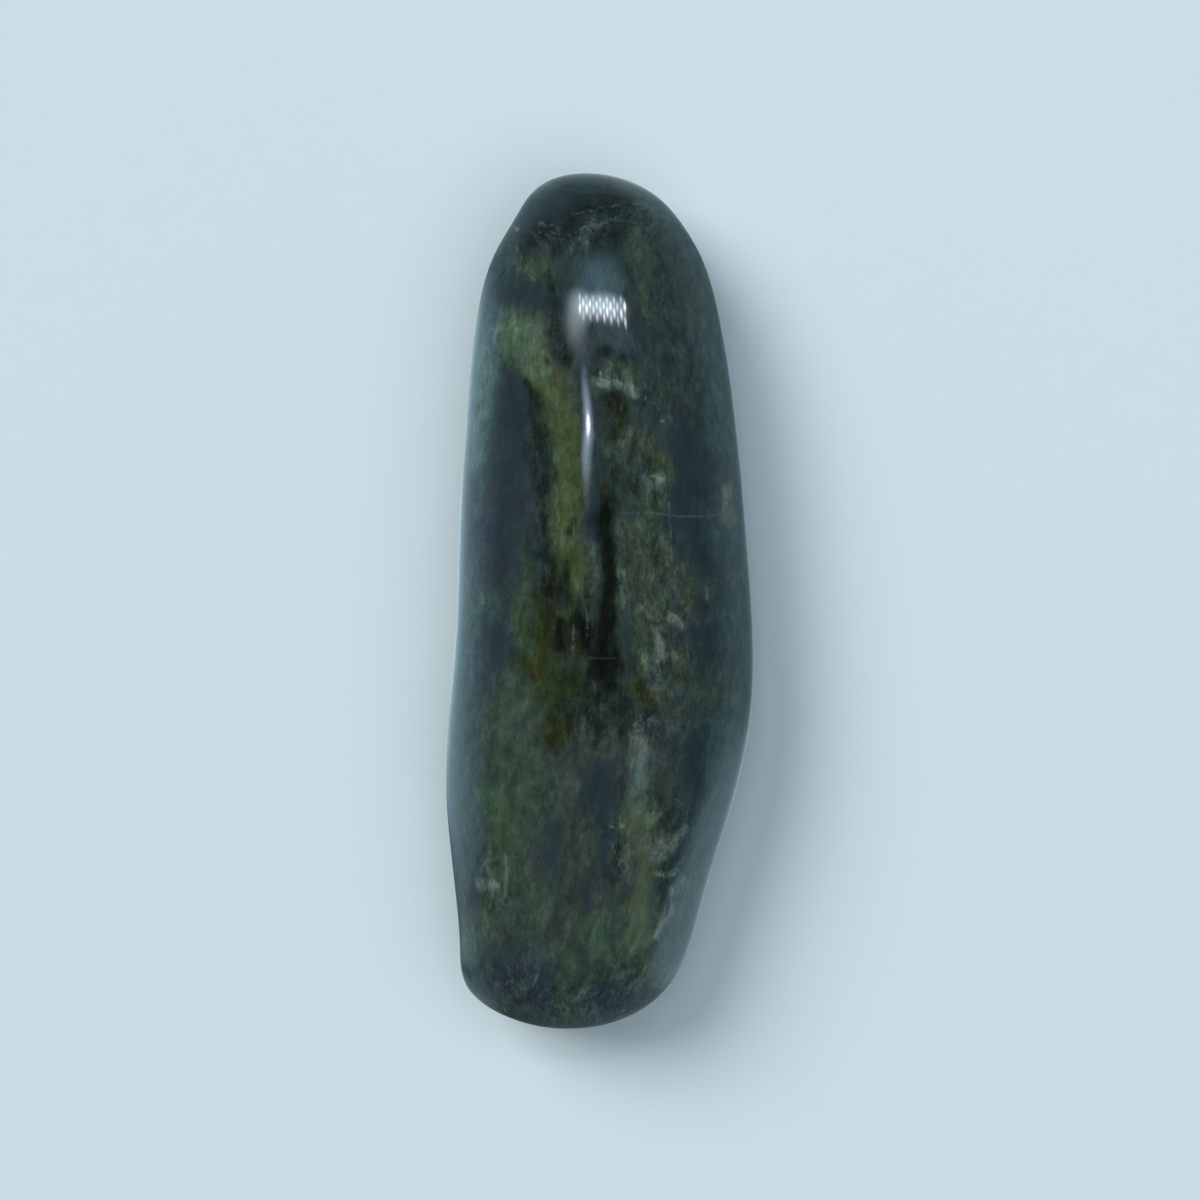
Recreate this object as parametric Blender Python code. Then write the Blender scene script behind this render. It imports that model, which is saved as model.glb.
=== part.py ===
"""A long, tumble-polished diopside pebble, lying on its flattest side.

It is one piece of stone, so it is one object. Run it with blender --background --python part.py, or from
Blender's text editor. Metres, +Z up. The long axis lies along Y, with the narrow end towards +Y. The origin
is on the surface that the stone rests on, under the middle of its outline.
"""

import math

import bmesh
import bpy
import numpy as np
from mathutils import Matrix

MM = 0.001

# Driving dimensions, in millimetres.
LENGTH = 50.0
WAIST_HEIGHT = 5.35  # height of the widest level above the resting surface
REST_ROUNDING = 0.15  # how far above and below the resting plane the polish rounds the rim of the flat

# Cross sections from the narrow end to the broad end: place along Y, middle of the width in X, half of the
# width, crest above the widest level, and keel below it.
SECTIONS = (
    (24.7, -0.67, 1.96, 1.07, 1.21),
    (23.0, -0.25, 4.32, 2.41, 2.70),
    (20.5, -0.10, 5.92, 3.25, 3.67),
    (16.5, -0.03, 7.13, 3.97, 4.60),
    (11.0, 0.09, 7.83, 4.49, 5.32),
    (4.0, 0.20, 8.38, 4.80, 5.69),
    (-2.0, 0.29, 8.68, 4.87, 5.73),
    (-7.0, -0.01, 8.82, 4.83, 5.69),
    (-12.0, -0.61, 8.37, 4.65, 5.45),
    (-17.0, -1.12, 7.36, 4.28, 4.93),
    (-20.5, -1.47, 6.72, 3.86, 4.33),
    (-22.8, -1.87, 5.70, 3.18, 3.53),
    (-24.5, -1.83, 3.01, 1.71, 1.91),
)

# Exponent of a section's curve, where 2 is an ellipse and more is squarer.
CREST_SQUARENESS = 2.05
KEEL_SQUARENESS = 2.35

# Worn flats left from the rough stone: how far the flat leans from facing up, the heading that it leans
# towards (0 is +X, 90 is +Y), the depth worn off the round stone there, and how far the edges are rounded.
FLATS = (
    (60.0, 184.0, 0.22, 0.30),  # left flank of the broad half
    (58.0, -20.0, 0.30, 0.30),  # right flank, towards the broad end
    (42.0, 22.0, 0.16, 0.30),  # right flank of the narrow half
    (30.0, -84.0, 0.24, 0.30),  # shoulder above the broad end
    (126.0, 165.0, 0.30, 0.35),  # left of the underside
    (122.0, 12.0, 0.34, 0.35),  # right of the underside
)

AROUND = 72  # faces round a section
ALONG = 48  # bands of faces from end to end

STONE_GREEN = (0.030, 0.052, 0.046, 1.0)
STONE_ROUGHNESS = 0.12
STONE_IOR = 1.68


def smooth_through(stations, values, at):
    """The natural cubic spline through the values at the rising stations, read at the places asked for."""
    count = len(stations)
    gap = np.diff(stations)
    slope = np.diff(values) / gap
    equations = np.eye(count)
    turning = np.zeros(count)
    for i in range(1, count - 1):
        equations[i, i - 1 : i + 2] = gap[i - 1], 2 * (gap[i - 1] + gap[i]), gap[i]
        turning[i] = 6 * (slope[i] - slope[i - 1])
    bend = np.linalg.solve(equations, turning)
    i = np.clip(np.searchsorted(stations, at) - 1, 0, count - 2)
    past = at - stations[i]
    steepness = slope[i] - gap[i] * (2 * bend[i] + bend[i + 1]) / 6
    turning_on = bend[i] / 2 + past * (bend[i + 1] - bend[i]) / (6 * gap[i])
    return values[i] + past * (steepness + past * turning_on)


def section_sizes(along, roundness):
    """Middle, half width, crest and keel of the stone at each place along Y.

    The three sizes are divided by the roundness of a unit sphere at the same place before they are joined by
    a spline, and multiplied by it afterwards, so that the ends close as round as a sphere's.
    """
    stations, middle, *sizes = np.array(SECTIONS[::-1]).T
    sphere = np.sqrt(1 - (2 * stations / LENGTH) ** 2)
    return (
        smooth_through(stations, middle, along),
        *(roundness * smooth_through(stations, size / sphere, along) for size in sizes),
    )


def worn_flat(points, centre):
    """Draws points in towards their centres to where they meet each flat, rounding the edges of the flats.

    Each flat lies square to its normal, its depth inside the outermost point. Two distances a and b from a
    centre join as -r log(exp(-a/r) + exp(-b/r)), which is the shorter one away from where they meet.
    """
    out = points - centre
    reach = np.linalg.norm(out, axis=1)
    out /= np.maximum(reach, 1e-9)[:, None]
    for lean, heading, depth, rounding in FLATS:
        lean, heading = math.radians(lean), math.radians(heading)
        sideways = math.sin(lean)
        normal = np.array((sideways * math.cos(heading), sideways * math.sin(heading), math.cos(lean)))
        level = (points @ normal).max() - depth
        facing = out @ normal
        meets = facing > 0.05
        limit = (level - centre[meets] @ normal) / facing[meets]
        reach[meets] = -rounding * np.logaddexp(-reach[meets] / rounding, -limit / rounding)
    return centre + out * reach[:, None]


def stone_points(sphere):
    """Draws the points of a unit sphere, with its poles on Y, out to the stone's surface, in millimetres."""
    along = LENGTH / 2 * sphere[:, 1]
    roundness = np.hypot(sphere[:, 0], sphere[:, 2])
    middle, half_width, crest, keel = section_sizes(along, roundness)
    turn = np.arctan2(sphere[:, 2], sphere[:, 0])
    upward = (1 + np.sin(turn)) / 2
    squareness = KEEL_SQUARENESS + (CREST_SQUARENESS - KEEL_SQUARENESS) * upward
    height = np.where(sphere[:, 2] > 0, crest, keel)
    across, up = np.cos(turn), np.sin(turn)
    scale = (np.abs(across) ** squareness + np.abs(up) ** squareness) ** (-1 / squareness)
    level = np.zeros_like(along)
    centre = np.stack([middle, along, level], axis=1)
    section = np.stack([half_width * scale * across, level, height * scale * up], axis=1)
    return worn_flat(centre + section, centre)


def rest_flat(height):
    """Heights above the resting plane, with all below brought onto it and the rim rounded by a parabola."""
    rim = (height + REST_ROUNDING) ** 2 / (4 * REST_ROUNDING)
    return np.where(height > REST_ROUNDING, height, np.where(height > -REST_ROUNDING, rim, 0.0))


def stone_material():
    material = bpy.data.materials.new("polished_diopside")
    material.use_nodes = True
    shader = material.node_tree.nodes["Principled BSDF"]
    shader.inputs["Base Color"].default_value = STONE_GREEN
    shader.inputs["Roughness"].default_value = STONE_ROUGHNESS
    shader.inputs["Metallic"].default_value = 0.0
    shader.inputs["IOR"].default_value = STONE_IOR
    return material


def build_stone():
    """The pebble: a sphere drawn out to its sections, worn by its flats and set down on the resting plane."""
    mesh = bpy.data.meshes.new("stone")
    shape = bmesh.new()
    poles_to_y = Matrix.Rotation(math.pi / 2, 4, "X")
    bmesh.ops.create_uvsphere(shape, u_segments=AROUND, v_segments=ALONG, radius=1.0, matrix=poles_to_y)
    shape.to_mesh(mesh)
    shape.free()

    sphere = np.empty(3 * len(mesh.vertices))
    mesh.vertices.foreach_get("co", sphere)
    points = stone_points(sphere.reshape(-1, 3))
    points[:, 2] = rest_flat(points[:, 2] + WAIST_HEIGHT)
    outline = points[:, :2]
    outline -= (outline.min(axis=0) + outline.max(axis=0)) / 2
    mesh.vertices.foreach_set("co", (points * MM).ravel())
    mesh.shade_smooth()
    mesh.materials.append(stone_material())
    return bpy.data.objects.new("stone", mesh)


def main():
    for old in list(bpy.data.objects):
        bpy.data.objects.remove(old, do_unlink=True)
    collection = bpy.data.collections.new("diopside_pebble")
    bpy.context.scene.collection.children.link(collection)
    collection.objects.link(build_stone())


main()
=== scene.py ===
"""A tumble-polished diopside pebble on a pale table, seen from straight above.

The pebble is one piece of stone. Here it gets a fine skin of the same form as its solid, a polished surface,
and the colours of its veins, which follow the stone's length. The stone's sizes are in millimetres until they
reach a mesh.
"""

import math

import bpy
import numpy as np
from mathutils import Matrix, Vector


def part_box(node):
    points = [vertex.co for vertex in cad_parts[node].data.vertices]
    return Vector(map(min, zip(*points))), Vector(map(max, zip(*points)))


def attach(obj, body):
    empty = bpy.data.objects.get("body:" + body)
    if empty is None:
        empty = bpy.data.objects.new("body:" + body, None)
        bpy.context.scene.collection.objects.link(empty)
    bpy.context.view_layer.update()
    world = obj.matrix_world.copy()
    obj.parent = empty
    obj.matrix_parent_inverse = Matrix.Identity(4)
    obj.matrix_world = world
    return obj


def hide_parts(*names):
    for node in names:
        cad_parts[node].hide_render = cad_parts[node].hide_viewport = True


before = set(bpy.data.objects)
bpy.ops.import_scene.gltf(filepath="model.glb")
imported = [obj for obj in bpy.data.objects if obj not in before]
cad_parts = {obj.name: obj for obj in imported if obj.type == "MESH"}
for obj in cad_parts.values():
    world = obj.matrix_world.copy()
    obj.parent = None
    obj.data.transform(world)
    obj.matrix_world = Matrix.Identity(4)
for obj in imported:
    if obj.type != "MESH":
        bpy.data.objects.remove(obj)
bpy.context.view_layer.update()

MM = 0.001
STONE_LOW, STONE_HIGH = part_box("stone")
LENGTH = (STONE_HIGH.y - STONE_LOW.y) / MM
VIEW_DISTANCE = 195.0  # how far above its widest level the stone is drawn and seen from

# ----------------------------------------------------------------------------------------------------
# The form of the stone, as its solid has it
# ----------------------------------------------------------------------------------------------------

WAIST_HEIGHT = 5.35  # height of the widest level above the resting surface
REST_ROUNDING = 0.15  # how far above and below the resting plane the polish rounds the rim of the flat

# Cross sections from the narrow end to the broad end: place along Y, middle of the width in X, half of the
# width, crest above the widest level, and keel below it.
SECTIONS = (
    (24.7, -0.67, 1.96, 1.07, 1.21),
    (23.0, -0.25, 4.32, 2.41, 2.70),
    (20.5, -0.10, 5.92, 3.25, 3.67),
    (16.5, -0.03, 7.13, 3.97, 4.60),
    (11.0, 0.09, 7.83, 4.49, 5.32),
    (4.0, 0.20, 8.38, 4.80, 5.69),
    (-2.0, 0.29, 8.68, 4.87, 5.73),
    (-7.0, -0.01, 8.82, 4.83, 5.69),
    (-12.0, -0.61, 8.37, 4.65, 5.45),
    (-17.0, -1.12, 7.36, 4.28, 4.93),
    (-20.5, -1.47, 6.72, 3.86, 4.33),
    (-22.8, -1.87, 5.70, 3.18, 3.53),
    (-24.5, -1.83, 3.01, 1.71, 1.91),
)

# Exponent of a section's curve, where 2 is an ellipse and more is squarer.
CREST_SQUARENESS = 2.05
KEEL_SQUARENESS = 2.35

# Worn flats left from the rough stone: how far the flat leans from facing up, the heading that it leans
# towards (0 is +X, 90 is +Y), the depth worn off the round stone there, and how far the edges are rounded.
FLATS = (
    (60.0, 184.0, 0.22, 0.30),  # left flank of the broad half
    (58.0, -20.0, 0.30, 0.30),  # right flank, towards the broad end
    (42.0, 22.0, 0.16, 0.30),  # right flank of the narrow half
    (30.0, -84.0, 0.24, 0.30),  # shoulder above the broad end
    (126.0, 165.0, 0.30, 0.35),  # left of the underside
    (122.0, 12.0, 0.34, 0.35),  # right of the underside
)

RINGS = 296  # rings of points from end to end
AROUND = 330  # points round a ring

# The polish leaves slow waves in the surface: their mean length, and how far they mostly raise and lower it.
POLISH_WAVE_LENGTH = 5.0
POLISH_WAVE_HEIGHT = 0.0108
POLISH_SEED = 3


def smooth_through(stations, values, at):
    """The natural cubic spline through the values at the rising stations, read at the places asked for."""
    count = len(stations)
    gap = np.diff(stations)
    slope = np.diff(values) / gap
    equations = np.eye(count)
    turning = np.zeros(count)
    for i in range(1, count - 1):
        equations[i, i - 1 : i + 2] = gap[i - 1], 2 * (gap[i - 1] + gap[i]), gap[i]
        turning[i] = 6 * (slope[i] - slope[i - 1])
    bend = np.linalg.solve(equations, turning)
    i = np.clip(np.searchsorted(stations, at) - 1, 0, count - 2)
    past = at - stations[i]
    steepness = slope[i] - gap[i] * (2 * bend[i] + bend[i + 1]) / 6
    turning_on = bend[i] / 2 + past * (bend[i + 1] - bend[i]) / (6 * gap[i])
    return values[i] + past * (steepness + past * turning_on)


def section_sizes(along, roundness):
    """Middle, half width, crest and keel of the stone at each place along Y.

    The three sizes are divided by the roundness of a unit sphere at the same place before they are joined by
    a spline, and multiplied by it afterwards, so that the ends close as round as a sphere's.
    """
    stations, middle, *sizes = np.array(SECTIONS[::-1]).T
    sphere = np.sqrt(1 - (2 * stations / LENGTH) ** 2)
    return (
        smooth_through(stations, middle, along),
        *(roundness * smooth_through(stations, size / sphere, along) for size in sizes),
    )


def worn_flat(points, centre):
    """Draws points in towards their centres to where they meet each flat, rounding the edges of the flats.

    Each flat lies square to its normal, its depth inside the outermost point. Two distances a and b from a
    centre join as -r log(exp(-a/r) + exp(-b/r)), which is the shorter one away from where they meet.
    """
    out = points - centre
    reach = np.linalg.norm(out, axis=1)
    out /= np.maximum(reach, 1e-9)[:, None]
    for lean, heading, depth, rounding in FLATS:
        lean, heading = math.radians(lean), math.radians(heading)
        sideways = math.sin(lean)
        normal = np.array((sideways * math.cos(heading), sideways * math.sin(heading), math.cos(lean)))
        level = (points @ normal).max() - depth
        facing = out @ normal
        meets = facing > 0.05
        limit = (level - centre[meets] @ normal) / facing[meets]
        reach[meets] = -rounding * np.logaddexp(-reach[meets] / rounding, -limit / rounding)
    return centre + out * reach[:, None]


def drift(points, seed, length, count=9):
    """Slow waves through space, mostly between -1 and 1.

    They are the sum of sines of random headings, phases and wavelengths, from 0.6 to 1.6 times the length
    given, brought to a standard deviation of two thirds.
    """
    random = np.random.default_rng(seed)
    heading = random.normal(size=(count, 3))
    heading /= np.linalg.norm(heading, axis=1, keepdims=True)
    heading *= 2 * np.pi / (length * random.uniform(0.6, 1.6, (count, 1)))
    waves = np.sin(points @ heading.T + random.uniform(0, 2 * np.pi, count))
    return waves.sum(axis=1) * math.sqrt(2 / count) / 1.5


def stone_points(sphere):
    """Draws the points of a unit sphere, with its poles on Y, out to the stone's surface, in millimetres."""
    along = LENGTH / 2 * sphere[:, 1]
    roundness = np.hypot(sphere[:, 0], sphere[:, 2])
    middle, half_width, crest, keel = section_sizes(along, roundness)
    turn = np.arctan2(sphere[:, 2], sphere[:, 0])
    upward = (1 + np.sin(turn)) / 2
    squareness = KEEL_SQUARENESS + (CREST_SQUARENESS - KEEL_SQUARENESS) * upward
    height = np.where(sphere[:, 2] > 0, crest, keel)
    across, up = np.cos(turn), np.sin(turn)
    scale = (np.abs(across) ** squareness + np.abs(up) ** squareness) ** (-1 / squareness)
    level = np.zeros_like(along)
    centre = np.stack([middle, along, level], axis=1)
    section = np.stack([half_width * scale * across, level, height * scale * up], axis=1)
    points = worn_flat(centre + section, centre)

    # The waves lift the surface away from its section's centre, and die out in the last millimetre to a pole.
    out = (points - centre) / np.maximum(np.linalg.norm(points - centre, axis=1), 1.0)[:, None]
    waves = drift(points, POLISH_SEED, POLISH_WAVE_LENGTH)
    return points + out * (POLISH_WAVE_HEIGHT * waves)[:, None]


def rest_flat(height):
    """Heights above the resting plane, with all below brought onto it and the rim rounded by a parabola."""
    rim = (height + REST_ROUNDING) ** 2 / (4 * REST_ROUNDING)
    return np.where(height > REST_ROUNDING, height, np.where(height > -REST_ROUNDING, rim, 0.0))


def even_rings(count):
    """Angles from pole to pole that set the rings equal distances apart along the side of the stone."""
    fine = np.linspace(0, np.pi, 4001)
    along = LENGTH / 2 * np.cos(fine)
    _, half_width, crest, _ = section_sizes(along, np.sin(fine))
    step = np.hypot(np.diff(along), np.diff((half_width + crest) / 2))
    run = np.concatenate([[0], np.cumsum(step)])
    return np.interp(np.linspace(0, run[-1], count), run, fine)


def stone_grid():
    """Points and faces of the stone: rings round Y joined by quads, and a fan of triangles at each pole.

    The points are brought to exactly the length, width and height of the solid.
    """
    polar, turn = np.meshgrid(
        even_rings(RINGS)[1:-1],
        np.linspace(0, 2 * np.pi, AROUND, endpoint=False),
        indexing="ij",
    )
    ball = np.stack([np.sin(polar) * np.cos(turn), np.cos(polar), np.sin(polar) * np.sin(turn)], axis=-1)
    poles = np.array([[0, 1, 0], [0, -1, 0]])
    points = stone_points(np.concatenate([ball.reshape(-1, 3), poles]))
    points[:, 2] = rest_flat(points[:, 2] + WAIST_HEIGHT)
    points[:, :2] -= (points[:, :2].min(axis=0) + points[:, :2].max(axis=0)) / 2
    points *= np.array(STONE_HIGH - STONE_LOW) / MM / np.ptp(points, axis=0)

    index = np.arange(ball.shape[0] * AROUND).reshape(-1, AROUND)
    following = np.roll(index, -1, axis=1)
    quads = np.stack([index[:-1], index[1:], following[1:], following[:-1]], axis=-1).reshape(-1, 4)
    narrow_pole, broad_pole = index.size, index.size + 1
    narrow = np.stack([np.full(AROUND, narrow_pole), index[0], following[0]], axis=-1)
    broad = np.stack([np.full(AROUND, broad_pole), following[-1], index[-1]], axis=-1)
    return points, quads.tolist() + narrow.tolist() + broad.tolist()


# ----------------------------------------------------------------------------------------------------
# Where the colours lie
# ----------------------------------------------------------------------------------------------------

# Each band of colour on the upper side runs along a smooth path through places given as x, y and half width,
# in millimetres. The paths are drawn flat, at the scale of the widest level, as the stone shows from the view
# distance.
BANDS = {
    "mist": (
        ((-1.4, -9.5, 5.0), (-1.6, -14.0, 6.0), (-1.6, -19.0, 6.0), (-1.7, -24.0, 5.0)),
    ),
    # On the upper side this band runs round the rim as a painted reflection of its bluish glow; below, its
    # patches are teal stone.
    "teal_and_rim_sheen": (
        ((-4.6, 23.0, 1.2), (-2.5, 24.0, 1.2), (0.5, 24.3, 1.2), (3.0, 23.5, 1.2)),
        ((-6.3, 20.5, 0.9), (-7.0, 17.0, 0.8), (-7.8, 12.0, 0.7)),
        ((-7.2, 6.0, 0.8), (-7.4, 2.0, 0.9), (-7.6, -4.0, 0.9), (-8.0, -10.0, 0.9), (-7.8, -15.0, 0.8)),
        ((6.9, 14.0, 0.9), (7.4, 8.0, 1.0), (7.7, 3.0, 1.0), (8.0, -3.0, 0.9), (7.6, -8.0, 0.9),
         (6.6, -12.0, 1.0), (5.4, -16.5, 1.0), (4.3, -20.0, 1.0)),
        ((-3.2, -21.6, 1.0), (-1.6, -23.4, 1.2), (0.8, -23.0, 1.0)),
    ),
    "green": (
        ((2.2, 21.5, 0.4), (2.3, 20.2, 0.4)),
        ((-6.6, -17.4, 0.6), (-6.6, -20.5, 0.7)),
        ((-6.2, -16.2, 0.7), (-5.7, -14.8, 0.5)),
        ((-3.9, -4.6, 0.4), (-4.6, -6.1, 0.7), (-5.7, -7.4, 1.2), (-5.8, -9.2, 1.2), (-6.2, -11.0, 1.1),
         (-5.7, -13.0, 1.2), (-6.1, -15.2, 0.8)),
        ((-4.3, 2.6, 0.3), (-4.3, 1.0, 0.3), (-4.4, -1.0, 0.35), (-4.0, -3.2, 0.45)),
        ((-4.1, -8.6, 0.6), (-3.9, -10.4, 0.5), (-3.7, -12.0, 0.4)),
        ((-4.2, -16.4, 0.4), (-3.9, -18.2, 0.5), (-4.1, -19.8, 0.4)),
        ((-0.4, -19.2, 1.0), (0.6, -20.6, 1.0), (1.0, -21.8, 0.7)),
        ((-1.95, -20.4, 0.4), (-1.9, -22.4, 0.5), (-1.9, -24.2, 0.4)),
        ((-4.6, 20.2, 0.3), (-4.0, 19.4, 0.5), (-3.2, 19.6, 0.3)),
        ((2.3, 21.2, 0.2), (2.4, 20.0, 0.3), (2.6, 18.8, 0.35), (2.6, 17.0, 0.3)),
        ((4.8, 0.9, 0.6), (4.3, 1.4, 0.5)),
        ((5.2, -5.2, 0.6), (6.2, -5.2, 0.6), (7.2, -5.0, 0.6), (7.7, -5.7, 0.35)),
    ),
    # On the upper side the arch is a painted reflection of the glow along the left flank; below, its patches
    # are stone.
    "arch_and_left_sheen": (
        ((-4.9, 15.8, 0.8), (-5.7, 16.0, 0.9), (-6.3, 15.0, 0.85), (-6.7, 13.6, 0.7), (-6.9, 12.0, 0.65),
         (-7.0, 10.0, 0.6), (-7.05, 8.0, 0.45)),
    ),
    "slate": (
        ((-5.2, 13.0, 0.6), (-5.0, 11.4, 0.9), (-5.0, 9.4, 1.0), (-5.1, 7.2, 1.1), (-5.3, 5.0, 1.3),
         (-5.7, 3.0, 1.2), (-5.9, 1.7, 0.9)),
        ((-6.3, -1.8, 0.6), (-6.1, -3.2, 0.7)),
        ((-5.9, 18.1, 0.8), (-4.6, 17.9, 0.9), (-2.9, 17.6, 0.8)),
        ((4.9, 9.6, 0.7), (5.0, 7.6, 0.9), (5.0, 5.2, 0.9), (5.5, 3.4, 0.8), (6.1, 2.2, 0.7)),
        ((6.3, 8.2, 0.5), (6.3, 6.4, 0.5)),
        ((5.8, -1.8, 0.5), (6.0, -3.2, 0.5)),
        ((1.8, 16.4, 0.5), (2.0, 15.6, 0.4)),
        ((5.3, -8.2, 0.4), (5.3, -9.6, 0.5), (5.8, -11.0, 0.4)),
        ((0.9, 22.0, 0.6), (0.9, 20.6, 0.8)),
        ((-4.2, 21.4, 0.8), (-2.6, 22.7, 1.1), (-0.8, 23.2, 0.9), (0.6, 23.0, 0.5)),
        ((-0.1, -10.4, 0.7), (0.0, -11.2, 0.9), (0.2, -12.0, 0.7)),
        ((-2.7, -13.7, 0.5), (-2.8, -15.2, 0.45)),
        ((0.3, -13.6, 0.5), (0.3, -15.7, 0.5)),
        ((-0.8, -16.6, 0.4), (-0.8, -18.2, 0.4)),
        ((-5.7, -20.9, 0.8), (-5.4, -22.2, 0.8)),
        ((-3.6, -22.9, 0.8), (-3.4, -23.9, 0.6)),
        ((0.5, -22.8, 0.6), (0.6, -24.0, 0.5)),
        ((-7.3, -16.6, 0.3), (-7.3, -17.4, 0.3)),
        ((-0.35, 9.0, 0.3), (-0.3, 7.0, 0.35), (-0.2, 5.0, 0.35), (0.0, 3.6, 0.3)),
    ),
    "veil": (
        ((0.7, 9.0, 0.4), (1.4, 9.5, 0.6), (2.6, 9.2, 0.55), (3.3, 8.2, 0.5), (3.5, 7.2, 0.6),
         (3.2, 5.8, 0.7), (2.8, 4.4, 0.9), (3.0, 2.4, 1.0), (3.2, 0.4, 1.05), (3.2, -1.4, 0.95),
         (2.8, -2.8, 0.6), (2.4, -4.2, 0.4)),
        ((4.4, 1.4, 0.5), (4.8, 0.6, 0.5), (4.9, -0.6, 0.5)),
        ((4.4, -3.2, 0.4), (4.8, -4.6, 0.5)),
        ((1.5, 8.7, 0.3), (2.2, 8.1, 0.4)),
        ((1.3, 4.6, 0.3), (1.35, 2.6, 0.3), (1.4, 0.6, 0.25), (1.5, -1.0, 0.2)),
        ((0.9, 13.8, 0.35), (1.6, 13.3, 0.5), (2.1, 12.8, 0.35)),
        ((3.6, -5.4, 0.5), (4.5, -6.4, 0.5)),
        ((-0.4, 3.4, 0.2), (-0.45, 1.4, 0.3), (-0.5, 0.0, 0.2)),
    ),
    "moss": (
        ((2.2, -11.9, 0.5), (2.5, -13.2, 0.8), (2.6, -14.5, 0.7), (2.5, -15.8, 0.5), (2.4, -17.4, 0.55),
         (2.6, -19.2, 0.75), (2.6, -20.6, 0.5)),
    ),
    "dark": (
        ((0.3, 5.4, 0.25), (0.3, 4.0, 0.32), (0.5, 2.5, 0.32), (0.7, 1.0, 0.3), (0.75, -0.4, 0.3),
         (0.4, -1.6, 0.6), (0.2, -2.8, 0.75), (0.25, -3.9, 0.7), (0.5, -4.9, 0.35)),
        ((-0.95, -0.7, 0.2), (-1.0, -1.6, 0.3), (-1.0, -2.6, 0.2)),
        ((-2.1, -1.2, 0.2), (-2.1, -3.0, 0.25)),
    ),
    "shade": (
        ((-4.4, 12.7, 0.2), (-3.9, 11.6, 0.35), (-3.5, 10.4, 0.5), (-3.3, 9.0, 0.5), (-3.3, 7.4, 0.5),
         (-3.2, 5.8, 0.4), (-3.2, 4.2, 0.5), (-3.2, 2.8, 0.6), (-3.1, 1.2, 0.6), (-3.0, -0.4, 0.4)),
        ((-2.0, 2.4, 0.25), (-2.1, 1.0, 0.3), (-2.1, 0.0, 0.3)),
        ((-1.0, 0.0, 0.4), (-0.8, -1.4, 0.8), (-0.6, -2.6, 1.2), (-0.4, -4.0, 1.1), (0.1, -5.6, 0.75),
         (0.6, -6.4, 0.6)),
        ((0.9, 12.0, 0.4), (0.9, 11.2, 0.6), (1.0, 10.4, 0.6), (0.8, 9.4, 0.4)),
        ((0.8, 8.6, 0.45), (0.75, 7.2, 0.5), (0.6, 6.0, 0.5), (0.3, 5.0, 0.5)),
        ((1.9, 6.9, 0.45), (2.1, 6.6, 0.45)),
        ((-2.6, 17.4, 0.3), (-2.5, 16.2, 0.4), (-2.2, 14.9, 0.4), (-1.8, 13.9, 0.3)),
        ((0.2, 14.6, 0.3), (1.2, 14.4, 0.4)),
        ((-1.4, -6.5, 0.7), (-0.4, -7.0, 0.9), (0.7, -7.2, 0.7)),
        ((0.9, -5.4, 0.4), (1.1, -6.4, 0.5)),
        ((-2.6, 20.6, 0.4), (-3.3, 21.5, 0.4)),
        ((-3.0, 19.2, 0.25), (-2.8, 18.5, 0.25)),
        ((0.2, 21.0, 0.4), (1.0, 21.4, 0.5)),
        ((-3.7, 21.0, 0.5), (-2.4, 21.7, 0.5), (-1.4, 22.8, 0.7), (0.2, 23.3, 0.7), (1.4, 22.7, 0.6)),
        ((3.4, -6.5, 0.12), (2.6, -6.7, 0.18), (2.0, -6.6, 0.15)),
        ((-2.9, 13.3, 0.2), (-2.8, 12.9, 0.2)),
        ((-3.15, 14.2, 0.15), (-3.1, 14.0, 0.15)),
        ((-2.5, 7.9, 0.12), (-2.6, 7.2, 0.15)),
        ((-1.5, 4.7, 0.18), (-1.6, 3.9, 0.22)),
        ((-1.7, 0.4, 0.2), (-1.6, -0.1, 0.25)),
    ),
    "olive": (
        ((-4.4, -3.4, 0.4), (-3.4, -4.2, 0.7), (-2.6, -4.7, 0.9), (-1.7, -4.6, 0.7), (-1.0, -4.8, 0.4)),
        ((-3.2, -0.4, 0.6), (-3.3, -2.0, 0.65), (-3.1, -3.4, 0.6)),
        ((-1.8, -0.4, 0.3), (-1.7, -2.0, 0.45), (-1.4, -3.4, 0.5)),
        ((-2.8, -5.6, 0.9), (-2.4, -7.2, 0.6), (-2.5, -8.2, 0.25)),
        ((0.7, 11.7, 0.35), (1.3, 10.8, 0.35), (1.4, 10.2, 0.2)),
        ((0.7, 8.0, 0.25), (0.8, 7.6, 0.25)),
        ((2.2, -4.9, 0.35), (3.2, -6.0, 0.25)),
    ),
    "rust": (
        ((-2.9, 0.2, 0.2), (-2.8, -1.4, 0.25), (-2.75, -2.9, 0.25)),
        ((-2.9, -7.9, 0.15), (-2.8, -8.9, 0.15)),
        ((-2.7, 2.7, 0.25), (-2.7, 1.2, 0.35), (-3.0, 0.6, 0.3)),
        ((-4.1, -4.2, 0.15), (-4.0, -4.6, 0.15)),
        ((0.4, 6.9, 0.2), (0.3, 6.2, 0.25)),
    ),
    "vein": (
        ((-3.7, 14.1, 0.7), (-3.0, 12.9, 1.1), (-2.65, 12.0, 1.1), (-2.35, 11.0, 1.0), (-2.1, 10.0, 0.85),
         (-1.9, 8.5, 0.9), (-1.9, 7.0, 0.9), (-1.95, 5.5, 0.9), (-1.95, 4.0, 0.85), (-1.75, 3.0, 0.8),
         (-1.55, 1.8, 0.75), (-1.45, 0.8, 0.6), (-1.5, -0.1, 0.35)),
    ),
    "apex": (
        ((-5.4, 15.9, 0.6), (-4.7, 15.8, 1.0), (-4.2, 15.0, 1.1), (-3.8, 14.2, 0.9), (-3.5, 13.5, 0.5)),
    ),
    "wisp": (
        ((-3.4, 21.4, 0.5), (-1.0, 21.6, 0.8), (1.0, 22.4, 0.7), (3.2, 22.2, 0.9)),
        ((0.8, 13.2, 0.7), (2.2, 12.4, 0.8), (3.4, 11.8, 0.6)),
        ((3.2, 7.4, 0.8), (3.3, 6.2, 0.7)),
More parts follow.
